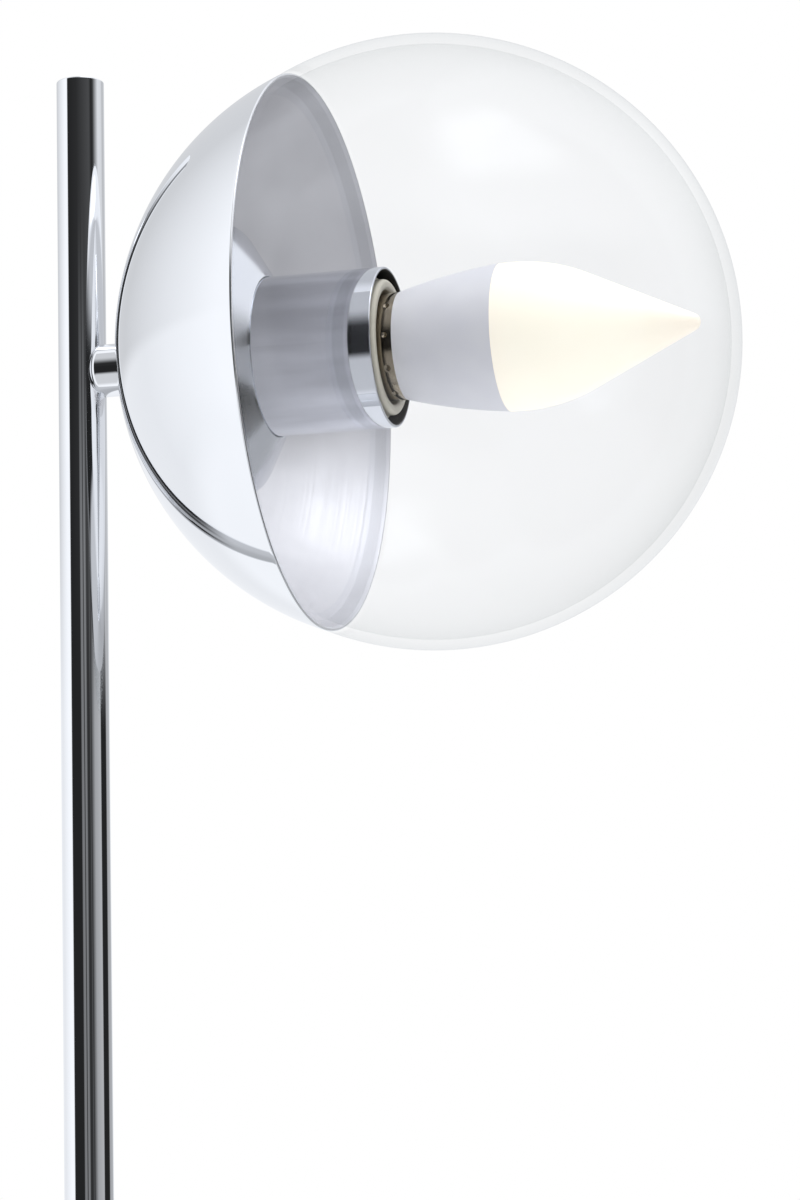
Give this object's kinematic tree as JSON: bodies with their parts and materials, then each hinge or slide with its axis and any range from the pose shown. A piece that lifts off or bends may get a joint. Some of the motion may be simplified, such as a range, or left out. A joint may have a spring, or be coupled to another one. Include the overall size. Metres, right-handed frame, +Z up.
{
  "type": "table lamp",
  "caption": "Chrome table lamp: round weighted base, slim pole and a ball head of a polished cup and a clear glass globe round a screw-in bulb.",
  "frame": {"origin": "middle of the underside of the base, straight under the pole", "axes": "+Z up along the pole; +X from the pole through the head to the front of the globe; the cord inlet is on the -X side"},
  "size_m": [0.2477, 0.16, 0.4604],
  "materials": {
    "base_chrome": "polished chrome plate on a drawn steel cover",
    "pole_chrome": "polished chrome plate on drawn tube",
    "cup_chrome": "polished chrome plate on a spun cup",
    "sleeve_chrome": "polished chrome plate on drawn sheet",
    "weight_iron": "rough cast with black lacquer",
    "pad_rubber": "fine grained black sheet",
    "bushing_rubber": "matte moulded",
    "seat_rubber": "soft pale grey band",
    "block_plastic": "natural moulded",
    "plated_steel": "zinc plated",
    "terminal_brass": "bare stamped and turned brass",
    "clear_glass": "clear blown glass, fire polished",
    "holder_cream": "cream moulded, half gloss",
    "foot_solder": "tinned",
    "cap_insulator": "black glassy",
    "cap_nickel": "nickel plated pressed cap",
    "bulb_white": "white moulded, satin",
    "plate_aluminium": "white coated",
    "chip_yellow": "phosphor coated",
    "board_green": "lacquered circuit board",
    "opal_diffuser": "opal white, satin",
    "wire_brown": "insulation",
    "wire_blue": "insulation",
    "wire_green": "insulation"
  },
  "bodies": {
    "stand": {"base_cover": "base_chrome", "base_weight": "weight_iron", "base_pad": "pad_rubber", "cord_bushing": "bushing_rubber", "terminal_block": "block_plastic", "terminal_screws": "plated_steel", "earth_tag": "terminal_brass", "foot_washer": "plated_steel", "foot_nut": "plated_steel", "foot_stud": "plated_steel", "foot_insert": "terminal_brass", "pole_tube": "pole_chrome", "pole_plug": "pole_chrome", "head_stub": "pole_chrome", "head_nipple": "plated_steel", "reflector_cup": "cup_chrome", "cup_washer": "plated_steel", "cup_nut": "plated_steel", "globe_ring": "seat_rubber", "holder_sleeve": "sleeve_chrome", "holder_cover": "sleeve_chrome", "holder_bridge": "plated_steel", "bridge_screws": "plated_steel", "holder_body": "holder_cream", "holder_ring": "holder_cream", "holder_shell": "terminal_brass", "holder_contact": "terminal_brass", "contact_rivets": "terminal_brass", "holder_terminals": "terminal_brass", "holder_terminal_screws": "plated_steel", "live_wire": "wire_brown", "neutral_wire": "wire_blue", "earth_wire": "wire_green"},
    "globe": {"glass_globe": "clear_glass"},
    "foot": {"bulb_foot": "foot_solder"},
    "bulb": {"bulb_insulator": "cap_insulator", "bulb_cap": "cap_nickel", "bulb_body": "bulb_white", "led_plate": "plate_aluminium", "led_chips": "chip_yellow", "bulb_driver": "board_green", "bulb_diffuser": "opal_diffuser"}
  },
  "joints": [
    {"name": "globe_pull", "type": "slide", "parent": "stand", "child": "globe", "axis": [1, 0, 0], "range_m": [0, 0.11]},
    {"name": "bulb_rise", "type": "slide", "parent": "stand", "child": "foot", "axis": [1, 0, 0], "range_m": [0, 0.00545]},
    {"name": "bulb_turn", "type": "hinge", "parent": "foot", "child": "bulb", "pos_m": [0.0839, 0, 0.385], "axis": [1, 0, 0], "range_deg": [0, 540]}
  ],
  "couplings": [
    {"joint": "bulb_rise", "follows": "bulb_turn", "m_per_rad": 0.00057751}
  ]
}
